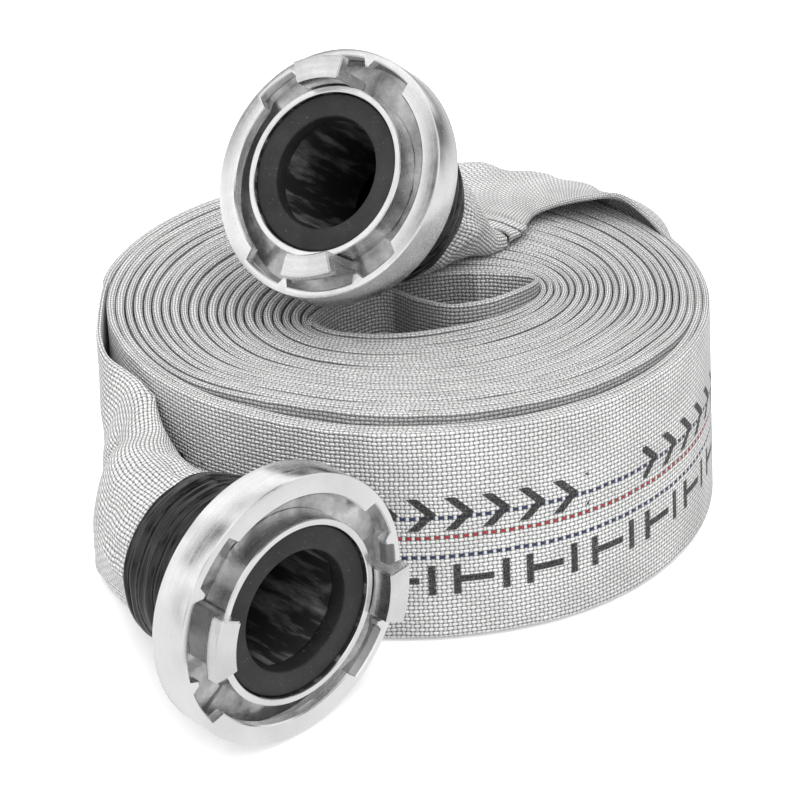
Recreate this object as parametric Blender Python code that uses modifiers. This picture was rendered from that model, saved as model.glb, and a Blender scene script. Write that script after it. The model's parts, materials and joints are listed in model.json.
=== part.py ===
"""A rolled fire hose: a woven lay-flat hose, folded at mid-length and wound as a double roll,
with a lugged quick coupling bound to each end. Metres, +Z up. Sizes and places are measured from the
floor under the roll's middle; the frame's origin is on the floor under the whole hose's middle."""

import math

import bmesh
import bpy
from mathutils import Matrix, Vector

MM = 0.001

# From the frame's origin to the roll's middle
ROLL_PLACE = Vector((-3.55, 43.12, 0.0)) * MM

# Hose, pressed flat
HOSE_WIDTH = 85.0 * MM
HOSE_THICK = 2.5 * MM
JACKET_WALL = 0.5 * MM
PLAY = 0.3 * MM
LINER_THICK = HOSE_THICK - 2 * JACKET_WALL - 2 * PLAY

# Roll
ROLL_RX = 122.2 * MM
ROLL_RY = 120.5 * MM
TURNS = 12
STEPS_PER_TURN = 16
EYE_CENTRE = Vector((9.4, -16.7)) * MM
EYE_LONG = 44.0 * MM
EYE_SHORT = 18.5 * MM
EYE_TURN = math.radians(22)
FOLD_ANGLE = math.radians(200)
EYE_LIFT = 10.0 * MM
LIFT_LAYERS = 1.6
SPREAD = 0.03
LEAN = Vector((3.5, -2.0)) * MM
LEAN_FADE = 3

# Hinge lines, where the loose ends bend
HINGE_A = Vector((-117.6, -46.0, 42.5)) * MM
HINGE_B = Vector((11.0, 60.0, 88.8)) * MM
TOWARDS_A = Vector((0.14, -0.99, 0.0)).normalized()
TOWARDS_B = Vector((-0.5, -0.866, 0.0)).normalized()
ACROSS_B = TOWARDS_B.cross(Vector((0, 0, -1)))
HINGE_GAP = 1.2 * MM
HINGE_FLAT = 6.0 * MM

# Where strand b folds over the back of the rim: its upper edge in mm, the angle round the rim
# and the slant of its hanging part in degrees, and then the lines that lie flat on the top
CORNER_R = 125.5 * MM
CORNER_Z = 88.3 * MM
CROSSOVER_STEP = math.radians(4)
CROSSOVER = (
    ((103, 56, 92), 28, 8),
    ((92, 61, 98), 37, 20),
    ((78, 60, 97.5), 48, 35),
    ((66, 62, 93.5), 60, 50),
    ((57, 60, 90.5), 73, 75),
)
FLAT_ON_TOP = (((4, 121, 88.8), (53, 54, 89)), ((-9, 108, 88.8), (51, 48, 88.8)))

# Couplings: the middle of the front face, the direction it faces and the lugs' turn
COUPLING_A = Vector((-36.5, -176.5, 49.9)) * MM
FACING_A = (44.0, 4.0)
LUGS_A = 101.0
COUPLING_B = Vector((-29.9, -24.3, 145.2)) * MM
FACING_B = (-35.8, 34.0)
LUGS_B = -18.6

# Lug ring
RING_R = 49.0 * MM
RING_WIDTH = 15.5 * MM
RING_CHAMFER = 0.8 * MM
RIM_R = 46.0 * MM
RIM_SKIM = 0.5 * MM
FLANGE_R = 41.5 * MM
FLANGE_DEPTH = 4.0 * MM
FLOOR_DEPTH = 9.0 * MM
RING_BORE = 31.4 * MM
FLANGE_FROM = 48.0
FLANGE_TO = 135.0
NIB_R = 43.0 * MM
NIB_EDGES = (19.0, 23.0)
LUG_HALF = 15.0
LUG_INNER = 33.3 * MM
LUG_NECK = 37.5 * MM
LUG_OUTER = 41.8 * MM
LUG_LIP = 4.0 * MM
LUG_TOP = 8.8 * MM

# Tail, its collar and what sits on it
COLLAR_R = 32.9 * MM
COLLAR_FRONT = 2.0 * MM
SEAT_R = 30.9 * MM
SEAT_DEPTH = 7.0 * MM
JOURNAL_R = RING_BORE - PLAY
GROOVE_R = 29.6 * MM
GROOVE_FROM = 15.8 * MM
GROOVE_TO = 18.2 * MM
LAND_TO = 19.6 * MM
SHANK_R = 24.7 * MM
RIB_R = 25.4 * MM
RIB_PITCH = 10.0 * MM
RIBS = 3
TAIL_END = 60.0 * MM
BORE_R = 22.3 * MM
SEAL_FACE = 0.6 * MM
SNAP_WIRE = 0.9 * MM
TUBE_SIDES = 16
LINER_R = (RIB_R + PLAY) / math.cos(math.pi / TUBE_SIDES)
LINER_TUBE_WALL = 0.6 * MM
JACKET_R = LINER_R + LINER_TUBE_WALL + PLAY
JACKET_TUBE_WALL = 1.2 * MM
HOSE_FRONT = 20.2 * MM
WIRE_R = 0.8 * MM
WIRE_FROM = 25.0 * MM
WIRE_TURNS = 5
WIRE_PITCH = 4.6 * MM
TAPE_R = 32.8 * MM
TAPE_WALL = 1.1 * MM
TAPE_FROM = 20.4 * MM
TAPE_TO = 56.0 * MM
TAPE_SLOPE = 2.5 * MM
ROUND_STEPS = 24

COLOURS = {
    "jacket": ((0.78, 0.78, 0.76, 1), 0.85, 0.0),
    "liner": ((0.12, 0.12, 0.12, 1), 0.6, 0.0),
    "aluminium": ((0.75, 0.76, 0.77, 1), 0.3, 1.0),
    "rubber": ((0.05, 0.05, 0.05, 1), 0.7, 0.0),
    "steel": ((0.55, 0.55, 0.55, 1), 0.35, 1.0),
    "tape": ((0.02, 0.02, 0.02, 1), 0.25, 0.0),
}


def clear_scene():
    for obj in list(bpy.data.objects):
        bpy.data.objects.remove(obj)


def collection(name):
    made = bpy.data.collections.new(name)
    bpy.context.scene.collection.children.link(made)
    return made


def material(name):
    found = bpy.data.materials.get(name)
    if found:
        return found
    colour, roughness, metallic = COLOURS[name]
    made = bpy.data.materials.new(name)
    made.use_nodes = True
    shader = made.node_tree.nodes["Principled BSDF"]
    shader.inputs["Base Color"].default_value = colour
    shader.inputs["Roughness"].default_value = roughness
    shader.inputs["Metallic"].default_value = metallic
    return made


def add_object(name, data, group, finish=None):
    obj = bpy.data.objects.new(name, data)
    group.objects.link(obj)
    if finish:
        data.materials.append(material(finish))
    return obj


def mesh_of(obj):
    """A welded mesh of a curve object, which is removed."""
    graph = bpy.context.evaluated_depsgraph_get()
    mesh = bpy.data.meshes.new_from_object(obj.evaluated_get(graph))
    shape = bmesh.new()
    shape.from_mesh(mesh)
    bmesh.ops.remove_doubles(shape, verts=shape.verts, dist=1e-6)
    bmesh.ops.recalc_face_normals(shape, faces=shape.faces)
    shape.to_mesh(mesh)
    shape.free()
    bpy.data.objects.remove(obj)
    return mesh


# Lofted hose: a band whose section changes along its length


def section(centre, across, through, half_width, half_thick, points, boxy):
    """One ring of points: a superellipse, round when boxy is 1 and near a rectangle when it is small."""
    ring = []
    for step in range(points):
        angle = 2 * math.pi * (step + 0.5) / points
        wide = math.copysign(abs(math.cos(angle)) ** boxy, math.cos(angle))
        deep = math.copysign(abs(math.sin(angle)) ** boxy, math.sin(angle))
        ring.append(centre + across * wide * half_width + through * deep * half_thick)
    return [ring]


def with_middle(lower, upper, part=0.5):
    return [lower, lower.lerp(upper, part), upper]


def travel(before, after, count):
    """The way the hose runs at each point of a line of 2 or 3 points, from its neighbour lines."""
    before, after = (line if len(line) == 3 else with_middle(*line) for line in (before, after))
    runs = [there - here for here, there in zip(before, after)]
    return runs if count == 3 else [runs[0], runs[2]]


def flat_section(line, runs, half_thick, inset):
    """The two faces of the flat hose over a line of 2 or 3 points from its lower to its upper edge."""
    ends = [line[0].lerp(line[1], inset / (line[1] - line[0]).length)]
    ends.append(line[-1].lerp(line[-2], inset / (line[-2] - line[-1]).length))
    line = [ends[0], *line[1:-1], ends[1]]
    faces = ([], [])
    for index, (place, run) in enumerate(zip(line, runs)):
        below = (line[max(index, 1)] - line[max(index, 1) - 1]).normalized()
        above = (line[min(index + 1, len(line) - 1)] - line[min(index, len(line) - 2)]).normalized()
        across = (below + above).normalized()
        reach = half_thick / across.dot(below)
        through = run.cross(across).normalized() * reach
        faces[0].append(place + through)
        faces[1].append(place - through)
    return [faces[0], faces[1][::-1]]


def bridge(shape, here, there, reverse=False):
    """Faces between two runs of points, split along the same diagonal on both sides of the hose,
    so that its skins stay apart. A run of 2 meets a run of 3 in one flat five-sided face."""
    if len(here) != len(there):
        shape.faces.new(here + there[::-1])
        return
    for a, b, c, d in zip(here, here[1:], there[1:], there):
        shape.faces.new((a, b, d) if reverse else (a, b, c))
        shape.faces.new((b, c, d) if reverse else (a, c, d))


def ring_sides(sides):
    """A ring's runs of points: a closed round ring, or two faces and the edges that join them."""
    if len(sides) == 1:
        return [sides[0] + sides[0][:1]]
    return [sides[0], [sides[0][-1], sides[1][0]], sides[1], [sides[1][-1], sides[0][0]]]


def loft(name, outer, inner, group, finish):
    """A closed body through rings of points: solid, or hollow when inner rings are given."""
    shape = bmesh.new()
    shell, bore = (
        [ring_sides([[shape.verts.new(point) for point in side] for side in ring]) for ring in rings]
        for rings in (outer, inner)
    )
    for end in (-1, 0):
        if bore:
            for side, next_side in zip(shell[end], bore[end]):
                bridge(shape, side, next_side)
        else:
            shape.faces.new([corner for side in shell[end] for corner in side[:-1]])
    for skin in (shell, bore):
        for here, there in zip(skin, skin[1:]):
            for index, (side, next_side) in enumerate(zip(here, there)):
                bridge(shape, side, next_side, reverse=index == 0 and len(here) > 1)
    bmesh.ops.recalc_face_normals(shape, faces=shape.faces)
    mesh = bpy.data.meshes.new(name)
    shape.to_mesh(mesh)
    shape.free()
    return add_object(name, mesh, group, finish)


def frames(stations):
    """Each station's (centre, across, through), with through square to the path and to the width."""
    made = []
    for index, (centre, across) in enumerate(stations):
        before = stations[max(index - 1, 0)][0]
        after = stations[min(index + 1, len(stations) - 1)][0]
        along = (after - before).normalized()
        across = (across - along * across.dot(along)).normalized()
        made.append((centre, across, along.cross(across).normalized()))
    return made


# The roll


def lift(layer):
    return EYE_LIFT * max(0.0, 1 - layer / LIFT_LAYERS)


def winding(angle, layer):
    """The middle of the flat hose: an oval eye at layer 0 and the round rim at the last layer."""
    part = layer / (2 * TURNS)
    turned = angle - EYE_TURN
    eye = Vector((EYE_LONG * math.cos(turned), EYE_SHORT * math.sin(turned)))
    eye = EYE_CENTRE + Matrix.Rotation(EYE_TURN, 2) @ eye
    rim = Vector((ROLL_RX * math.cos(angle), ROLL_RY * math.sin(angle)))
    place = eye.lerp(rim, part)
    return Vector((place.x, place.y, HOSE_WIDTH / 2 + lift(layer)))


def strand(first_layer, steps):
    """One strand, from the mid-length fold out to where it leaves the roll."""
    places = []
    for index in range(steps + 1):
        angle = FOLD_ANGLE + 2 * math.pi * (first_layer + index / STEPS_PER_TURN)
        places.append(winding(angle, first_layer + index * 2 / STEPS_PER_TURN))
    return places


def fold(inner_end, outer_end, heading):
    """The U-turn of the mid-length fold, which joins the two strands."""
    middle = (inner_end + outer_end) / 2
    radius = (inner_end - outer_end).xy.length / 2
    side = (inner_end - middle) / radius
    places = []
    for degrees in (45, 90, 135):
        turn = math.radians(degrees)
        places.append(middle + side * radius * math.cos(turn) + heading * radius * math.sin(turn))
    return places


def leaned(point, share):
    """The windings lean outwards and towards the front right, low down. The loose ends take a share."""
    low = share * max(0.0, 1 - point.z / HOSE_WIDTH)
    spread = point.xy * (1 + SPREAD * low) + LEAN * low
    return Vector((spread.x, spread.y, point.z))


def band(name, lines, half_thick, inset, hollow, group, finish):
    """The flat hose along a list of lines, each from the lower to the upper edge."""
    outer = []
    inner = []
    for index, line in enumerate(lines):
        share = min(1.0, index / LEAN_FADE)
        runs = travel(lines[max(index - 1, 0)], lines[min(index + 1, len(lines) - 1)], len(line))
        depths = (0.0, JACKET_WALL) if hollow else (0.0,)
        for rings, depth in zip((outer, inner), depths):
            sides = flat_section(line, runs, half_thick - depth, inset + depth)
            rings.append([[leaned(point, share) for point in side] for side in sides])
    return loft(name, outer, inner, group, finish)


def upright_line(centre):
    half = Vector((0, 0, HOSE_WIDTH / 2))
    return [centre - half, centre + half]


def roll_lines():
    strand_a = strand(0, TURNS * STEPS_PER_TURN - 1)
    strand_b = strand(1, TURNS * STEPS_PER_TURN - STEPS_PER_TURN // 2)
    heading = (strand_a[0] - strand_a[1]).normalized()
    heading.z = 0
    turn = fold(strand_a[0], strand_b[0], heading)
    places = [HINGE_A - TOWARDS_A * depth for depth in (HINGE_GAP, HINGE_FLAT)]
    places.append(Vector((-120.6, -22.0, 42.5)) * MM)
    places += strand_a[::-1] + turn + strand_b
    return [upright_line(place) for place in places] + crossover_lines()


def crossover_lines():
    """Strand b rises along the back of the roll and folds over the rim to lie across the top."""
    turn = FOLD_ANGLE + math.pi + CROSSOVER_STEP
    rim = Vector((ROLL_RX * math.cos(turn), ROLL_RY * math.sin(turn), HOSE_WIDTH / 2))
    lines = [with_middle(*upright_line(rim))]
    for edge, rim_degrees, slant_degrees in CROSSOVER:
        upper = Vector(edge) * MM
        turn = math.radians(rim_degrees)
        slant = math.radians(slant_degrees)
        corner = Vector((CORNER_R * math.cos(turn), CORNER_R * math.sin(turn), CORNER_Z))
        hanging = HOSE_WIDTH - (upper - corner).length
        swing = hanging * math.sin(slant) / CORNER_R
        lower = Vector((CORNER_R * math.cos(turn + swing), CORNER_R * math.sin(turn + swing), 0))
        lower.z = CORNER_Z - hanging * math.cos(slant)
        lines.append([lower, corner, upper])
    for lower, upper in FLAT_ON_TOP:
        lines.append([Vector(lower) * MM, Vector(upper) * MM])
    lines[-2] = with_middle(*lines[-2], part=0.25)
    half = ACROSS_B * HOSE_WIDTH / 2
    for depth in (HINGE_FLAT, HINGE_GAP):
        place = HINGE_B - TOWARDS_B * depth
        lines.append([place - half, place + half])
    return lines


# The loose ends of the hose, which open from flat to round at the couplings


def facing(azimuth, elevation):
    turn = math.radians(azimuth)
    rise = math.radians(elevation)
    flat = math.cos(rise)
    return Vector((flat * math.sin(turn), -flat * math.cos(turn), math.sin(rise)))


def coupling_matrix(front, aim, lugs):
    """Local +Z is the way the coupling faces, and local +Y points at a lug."""
    ahead = facing(*aim)
    up = (Vector((0, 0, 1)) - ahead * ahead.z).normalized()
    side = up.cross(ahead)
    basis = Matrix((side, up, ahead)).transposed().to_4x4()
    return Matrix.Translation(front) @ basis @ Matrix.Rotation(-math.radians(lugs), 4, "Z")


def loose_end(suffix, front, aim, keys, group):
    """Jacket and liner of one end. Each key is (place, across, half width, half thickness, boxy)."""
    ahead = facing(*aim)
    across = keys[-1][1]
    neck = [(front - ahead * depth, across) for depth in (TAPE_TO + 4 * MM, HOSE_FRONT)]
    stations = [(place, wide) for place, wide, *_ in keys] + neck
    tube = JACKET_R + JACKET_TUBE_WALL
    sizes = [size for _, _, *size in keys] + [[tube, tube, 1.0]] * 2
    flat_wall = JACKET_WALL
    skins = {"jacket_out": [], "jacket_in": [], "liner_out": [], "liner_in": []}
    for (centre, wide, through), (half_width, half_thick, boxy) in zip(frames(stations), sizes):
        opened = min(1.0, (half_thick - HOSE_THICK / 2) / (tube - HOSE_THICK / 2))
        wall = flat_wall + (JACKET_TUBE_WALL - flat_wall) * opened
        lining = 0.3 * MM + (LINER_TUBE_WALL - 0.3 * MM) * opened
        depth = 0.0
        for skin, step in zip(skins.values(), (0.0, wall, PLAY, lining)):
            depth += step
            sizes_inside = (half_width - depth, half_thick - depth)
            skin.append(section(centre, wide, through, *sizes_inside, TUBE_SIDES, boxy))
    loft(f"hose_jacket_end_{suffix}", skins["jacket_out"], skins["jacket_in"], group, "jacket")
    loft(f"hose_liner_end_{suffix}", skins["liner_out"], skins["liner_in"], group, "liner")


def flat_keys(hinge, towards, across):
    """The two flat sections just past a hinge line."""
    sizes = (HOSE_WIDTH / 2, HOSE_THICK / 2, 0.2)
    return [(hinge + towards * depth, across, *sizes) for depth in (HINGE_GAP, HINGE_FLAT)]


def end_a_keys():
    upright = Vector((0, 0, 1))
    rows = (
        ((-115.5, -62.0, 42.5), 42.3, 2.2, 0.3),
        ((-111.8, -80.0, 42.6), 41.0, 5.5, 0.55),
        ((-104.5, -98.0, 43.0), 37.5, 13.0, 0.8),
        ((-94.5, -115.0, 44.0), 33.0, 21.5, 1.0),
    )
    keys = flat_keys(HINGE_A, TOWARDS_A, upright)
    for place, half_width, half_thick, boxy in rows:
        keys.append((Vector(place) * MM, upright, half_width * MM, half_thick * MM, boxy))
    return keys


def end_b_keys():
    rows = (
        ((5.0, 46.0, 92.6), (0.90, -0.43, 0.0), 41.0, 4.2, 0.5),
        ((4.0, 40.5, 95.8), (0.88, -0.465, 0.0), 38.8, 8.0, 0.68),
        ((2.8, 34.0, 100.6), (0.86, -0.50, 0.0), 36.0, 12.5, 0.85),
    )
    keys = flat_keys(HINGE_B, TOWARDS_B, ACROSS_B)
    for place, across, half_width, half_thick, boxy in rows:
        keys.append((Vector(place) * MM, Vector(across), half_width * MM, half_thick * MM, boxy))
    return keys


# Coupling pieces, in a frame whose +Z is the way the coupling faces


def turned(name, profile, group, finish=None, steps=ROUND_STEPS):
    """A profile of (radius, height) points, outer side first from top to bottom, turned about Z."""
    mesh = bpy.data.meshes.new(name)
    points = [(radius, 0, height) for radius, height in profile]
    edges = [(i, (i + 1) % len(points)) for i in range(len(points))]
    mesh.from_pydata(points, edges, [])
    obj = add_object(name, mesh, group, finish)
    screw = obj.modifiers.new("turn", "SCREW")
    screw.axis = "Z"
    screw.steps = steps
    screw.render_steps = steps
    screw.use_merge_vertices = True
    screw.merge_threshold = 1e-6
    screw.use_smooth_shade = True
    return obj


def sector(name, inner, outer, low, high, start, end, group, arcs=6):
    """A flat ring sector between two heights. Angles are clockwise from +Y, seen from the front."""
    outline = []
    for radius, order in ((outer, range(arcs + 1)), (inner, range(arcs, -1, -1))):
        for step in order:
            turn = math.radians(start + (end - start) * step / arcs)
            outline.append((radius * math.sin(turn), radius * math.cos(turn)))
    curve = bpy.data.curves.new(name, "CURVE")
    curve.dimensions = "2D"
    curve.fill_mode = "BOTH"
    curve.extrude = (high - low) / 2
    spline = curve.splines.new("POLY")
    spline.points.add(len(outline) - 1)
    for point, (x, y) in zip(spline.points, outline):
        point.co = (x, y, 0, 1)
    spline.use_cyclic_u = True
    flat = add_object(name, curve, group)
    mesh = mesh_of(flat)
    mesh.transform(Matrix.Translation((0, 0, (high + low) / 2)))
    obj = add_object(name, mesh, group)
    obj.hide_render = True
    obj.display_type = "WIRE"
    return obj


def boolean(obj, operation, other):
    modifier = obj.modifiers.new(other.name, "BOOLEAN")
    modifier.operation = operation
    modifier.object = other


def ring_profile():
    back = -RING_WIDTH
    return [
        (RING_R - RING_CHAMFER, 0.0),
        (RING_R, -RING_CHAMFER),
        (RING_R, back + RING_CHAMFER),
        (RING_R - RING_CHAMFER, back),
        (RING_BORE, back),
        (RING_BORE, -FLOOR_DEPTH),
        (RIM_R, -FLOOR_DEPTH),
        (RIM_R, -FLANGE_DEPTH),
        (FLANGE_R, -FLANGE_DEPTH),
        (FLANGE_R, 0.0),
    ]


def lug_ring_mesh(tools):
    """The lug ring: a turned ring whose flange is cut back around each lug, with two hooked lugs."""
    ring = turned("ring_blank", ring_profile(), tools, "aluminium", steps=30)
    ring.hide_render = True
    clear = 1.0 * MM
    pocket, nib = NIB_EDGES
    for turn in (0, 180):
        spans = ((FLANGE_TO - 180, -nib), (-pocket, pocket), (nib, FLANGE_FROM))
        wide = sector("cut_wide", FLANGE_R - clear, NIB_R, -FLANGE_DEPTH - clear, clear,
                      turn + spans[0][0], turn + spans[2][1], tools, arcs=12)
        boolean(ring, "DIFFERENCE", wide)
        for start, end in spans:
            deep = sector("cut_deep", NIB_R - clear, RIM_R + RIM_SKIM, -FLANGE_DEPTH - clear, clear,
                          turn + start, turn + end, tools)
            boolean(ring, "DIFFERENCE", deep)
        neck = sector("lug_neck", LUG_INNER, LUG_NECK, -FLOOR_DEPTH - clear, LUG_LIP + clear,
                      turn - LUG_HALF, turn + LUG_HALF, tools, arcs=4)
        lip = sector("lug_lip", LUG_INNER - PLAY / 3, LUG_OUTER, LUG_LIP, LUG_TOP,
                     turn - LUG_HALF - 0.4, turn + LUG_HALF + 0.4, tools, arcs=4)
        boolean(ring, "UNION", neck)
        boolean(ring, "UNION", lip)
    graph = bpy.context.evaluated_depsgraph_get()
    mesh = bpy.data.meshes.new_from_object(ring.evaluated_get(graph))
    mesh.name = "lug_ring"
    bpy.data.objects.remove(ring)
    for helper in [obj for obj in tools.objects if obj.type == "MESH"]:
        bpy.data.objects.remove(helper)
    mesh.set_sharp_from_angle(angle=math.radians(30))
    return mesh


def tail_profile():
    points = [(COLLAR_R - PLAY, COLLAR_FRONT), (COLLAR_R, COLLAR_FRONT - PLAY)]
    points += [(COLLAR_R, PLAY - FLOOR_DEPTH), (JOURNAL_R, PLAY - FLOOR_DEPTH)]
    points += [(JOURNAL_R, -GROOVE_FROM), (GROOVE_R, -GROOVE_FROM)]
    points += [(GROOVE_R, -GROOVE_TO), (JOURNAL_R, -GROOVE_TO), (JOURNAL_R, -LAND_TO)]
    points += [(SHANK_R, -LAND_TO)]
    for rib in range(RIBS):
        front = LAND_TO + RIB_PITCH * (rib + 0.7)
        points += [(SHANK_R, -front), (RIB_R, -front - 0.5 * MM), (SHANK_R, -front - 3 * MM)]
    points += [(SHANK_R, -TAIL_END + 1.5 * MM), (SHANK_R - 0.8 * MM, -TAIL_END)]
    points += [(BORE_R, -TAIL_END), (BORE_R, -SEAT_DEPTH)]
    points += [(SEAT_R, -SEAT_DEPTH), (SEAT_R, COLLAR_FRONT)]
    return points


def seal_profile():
    outer = SEAT_R - PLAY
    inner = BORE_R - PLAY
    back = PLAY - SEAT_DEPTH
    soft = 0.8 * MM
    return [
        (outer - soft, SEAL_FACE),
        (outer, SEAL_FACE - soft),
        (outer, back),
        (inner, back),
        (inner, SEAL_FACE - soft),
        (inner + soft, SEAL_FACE),
    ]


def tape_profile():
    hug = JACKET_R + JACKET_TUBE_WALL + PLAY
    inner = TAPE_R - TAPE_WALL
    return [
        (hug + TAPE_WALL, -TAPE_FROM),
        (TAPE_R, -TAPE_FROM - TAPE_SLOPE),
        (TAPE_R, -TAPE_TO + TAPE_SLOPE),
        (hug + TAPE_WALL, -TAPE_TO),
        (hug, -TAPE_TO),
        (hug, -TAPE_TO + TAPE_WALL),
        (inner, -TAPE_TO + TAPE_SLOPE + TAPE_WALL),
        (inner, -TAPE_FROM - TAPE_SLOPE - TAPE_WALL),
        (hug, -TAPE_FROM - TAPE_WALL),
        (hug, -TAPE_FROM),
    ]


def wire(name, points, radius, sides, group, finish):
    curve = bpy.data.curves.new(name, "CURVE")
    curve.dimensions = "3D"
    curve.bevel_depth = radius
    curve.bevel_resolution = sides
    curve.use_fill_caps = True
    spline = curve.splines.new("POLY")
    spline.points.add(len(points) - 1)
    for target, place in zip(spline.points, points):
        target.co = (*place, 1)
    return add_object(name, curve, group, finish)


def snap_ring_points():
    middle = -(GROOVE_FROM + GROOVE_TO) / 2
    radius = GROOVE_R + PLAY + SNAP_WIRE
    open_angle = math.radians(24)
    steps = 22
    turns = [open_angle / 2 + (2 * math.pi - open_angle) * i / steps for i in range(steps + 1)]
    return [(radius * math.cos(t), radius * math.sin(t), middle) for t in turns]


def binding_points():
    per_turn = 14
    radius = (JACKET_R + JACKET_TUBE_WALL + PLAY + WIRE_R) / math.cos(math.pi / per_turn)
    points = []
    for step in range(WIRE_TURNS * per_turn + 1):
        turn = 2 * math.pi * step / per_turn
        height = -WIRE_FROM - WIRE_PITCH * step / per_turn
        points.append((radius * math.cos(turn), radius * math.sin(turn), height))
    return points


def build_coupling(suffix, matrix, ring_mesh, group):
    pieces = [
        turned(f"coupling_tail_{suffix}", tail_profile(), group, "aluminium"),
        turned(f"seal_ring_{suffix}", seal_profile(), group, "rubber"),
        turned(f"binding_tape_{suffix}", tape_profile(), group, "tape"),
        wire(f"snap_ring_{suffix}", snap_ring_points(), SNAP_WIRE, 0, group, "steel"),
        wire(f"binding_wire_{suffix}", binding_points(), WIRE_R, 0, group, "steel"),
        add_object(f"lug_ring_{suffix}", ring_mesh, group),
    ]
    for piece in pieces:
        piece.matrix_world = matrix


def place_in_frame(group):
    """Parents every piece to one empty at the roll's middle."""
    anchor = bpy.data.objects.new("roll_middle", None)
    group.objects.link(anchor)
    anchor.location = ROLL_PLACE
    for piece in group.objects:
        if piece is not anchor:
            piece.parent = anchor


def build():
    clear_scene()
    group = collection("rolled_fire_hose")
    tools = collection("cutters")
    lines = roll_lines()
    band("hose_jacket", lines, HOSE_THICK / 2, 0.0, True, group, "jacket")
    band("hose_liner", lines, LINER_THICK / 2, JACKET_WALL + PLAY, False, group, "liner")
    loose_end("a", COUPLING_A, FACING_A, end_a_keys(), group)
    loose_end("b", COUPLING_B, FACING_B, end_b_keys(), group)
    ring_mesh = lug_ring_mesh(tools)
    build_coupling("a", coupling_matrix(COUPLING_A, FACING_A, LUGS_A), ring_mesh, group)
    build_coupling("b", coupling_matrix(COUPLING_B, FACING_B, LUGS_B), ring_mesh, group)
    place_in_frame(group)


build()
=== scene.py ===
"""Looks of the rolled fire hose: woven windings, loose ends, bound couplings, light and camera."""

import json
import math

import bmesh
import bpy
import numpy as np
from mathutils import Matrix, Vector, noise


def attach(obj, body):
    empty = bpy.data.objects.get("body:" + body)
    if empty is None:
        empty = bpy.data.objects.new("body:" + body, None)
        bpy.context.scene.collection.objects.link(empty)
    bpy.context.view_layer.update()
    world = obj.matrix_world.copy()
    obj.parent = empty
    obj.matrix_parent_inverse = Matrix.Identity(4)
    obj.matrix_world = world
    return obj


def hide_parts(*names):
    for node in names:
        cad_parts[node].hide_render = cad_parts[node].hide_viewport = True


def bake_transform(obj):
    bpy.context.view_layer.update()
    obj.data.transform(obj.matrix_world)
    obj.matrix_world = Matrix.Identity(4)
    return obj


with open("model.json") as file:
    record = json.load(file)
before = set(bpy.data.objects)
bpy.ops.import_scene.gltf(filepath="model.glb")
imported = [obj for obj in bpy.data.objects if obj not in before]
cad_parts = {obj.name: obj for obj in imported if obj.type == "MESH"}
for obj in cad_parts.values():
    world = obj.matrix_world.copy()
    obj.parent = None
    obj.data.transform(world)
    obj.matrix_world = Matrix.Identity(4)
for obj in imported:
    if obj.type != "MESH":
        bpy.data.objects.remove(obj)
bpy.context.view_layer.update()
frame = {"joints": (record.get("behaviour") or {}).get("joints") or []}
JOINTS = {joint["name"]: joint for joint in frame["joints"]}
MM = 0.001

# Hose: its flat section, how far its edges bulge and how boxy they are, and its threads
HOSE_WIDTH = 85.0 * MM
FLAT_HALF = 1.25 * MM
EDGE_DEPTH = 0.95 * MM
EDGE_BOXY = 0.6
EDGE_THREADS = 2.3 * MM
THREADS_ROUND = 110
WEFT_PITCH = 1.7 * MM
# Where on the weave a tube's closed ends lie, in metres
CAP_PLACE = 0.03

# Roll: an oval eye at layer 0, a round rim at the last layer
RIM_HALF = (122.2 * MM, 120.5 * MM)
LAYERS = 24
TURNS_A = 12 - 1 / 16
TURNS_B = 11.5
STEPS_PER_TURN = 144
EYE_CENTRE = np.array((9.4, -16.7)) * MM
EYE_HALF = (44.0 * MM, 18.5 * MM)
EYE_TURN = math.radians(22)
# The mid-length fold: its angle, points and half thickness, and how many of strand a's steps share that
FOLD_ANGLE = math.radians(200)
FOLD_POINTS = 15
FOLD_HALF = 1.5 * MM
FOLD_STRETCH = 40
# Strand a's first stretch crosses the eye through these places, in mm, and joins the oval at this angle
ACROSS_EYE = ((-25, -12), (-8, -2), (7, -17), (20, -28))
JOIN_ANGLE = math.radians(318)
# The band in front of the eye stands this much higher, and these are the angles where it ends and begins
EYE_LIFT = 8.0 * MM
BAND_ENDS = (math.radians(330), math.radians(430))
BAND_BEGINS_A = (math.radians(235), JOIN_ANGLE)
BAND_SHARE_A = 0.85
# At the front the windings between these layers stand this much higher than the last two
INNER_STEP = 4.0 * MM
STEP_INNER = (8, 20)
STEP_OUTER = (LAYERS - 2.4, LAYERS - 1.9)
STEP_BEGINS = (math.radians(215), math.radians(250))
STEP_ENDS = (math.radians(325), math.radians(350))
# Unevenness of the windings' height: depth, waves per metre and seed, and how slack they lie
HEIGHT_WAVES = ((0.9 * MM, 9.0, 3), (0.5 * MM, 31.0, 4))
SLACK_EVERYWHERE = 0.07
SLACK_IN_PLACES = 0.22
# How the windings lean, low down
SPREAD = 0.03
LEAN = np.array((3.5, -2.0)) * MM
LAYER_GAP = 0.15 * MM

# Generic stencil marks on the outer face: distances from its middle, and how often they repeat
CHEVRON_ROW = 9.5 * MM
CHEVRON_PITCH = 13.5 * MM
# Chevrons in a group, and the places that a group and the gap after it take up
CHEVRONS, CHEVRON_PLACES = 9, 11
BAR_ROW = -17.8 * MM
BAR_PITCH = 27.0 * MM
MARK_SOFT = 0.25 * MM

# The roll's middle in the frame. The hose's own places are measured from it
ROLL_PLACE = np.array((*JOINTS["coupling_b_lift"]["pos_m"][:2], 0.0)) - np.array((11.0, 60.0, 0.0)) * MM


# Smooth noise and curves


def wander(values, scale, seed):
    """A repeatable smooth noise of about -1 to 1 along an array of values."""
    return np.array([noise.noise(Vector((value * scale, seed * 7.31, 0.5))) * 2 for value in values])


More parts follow.
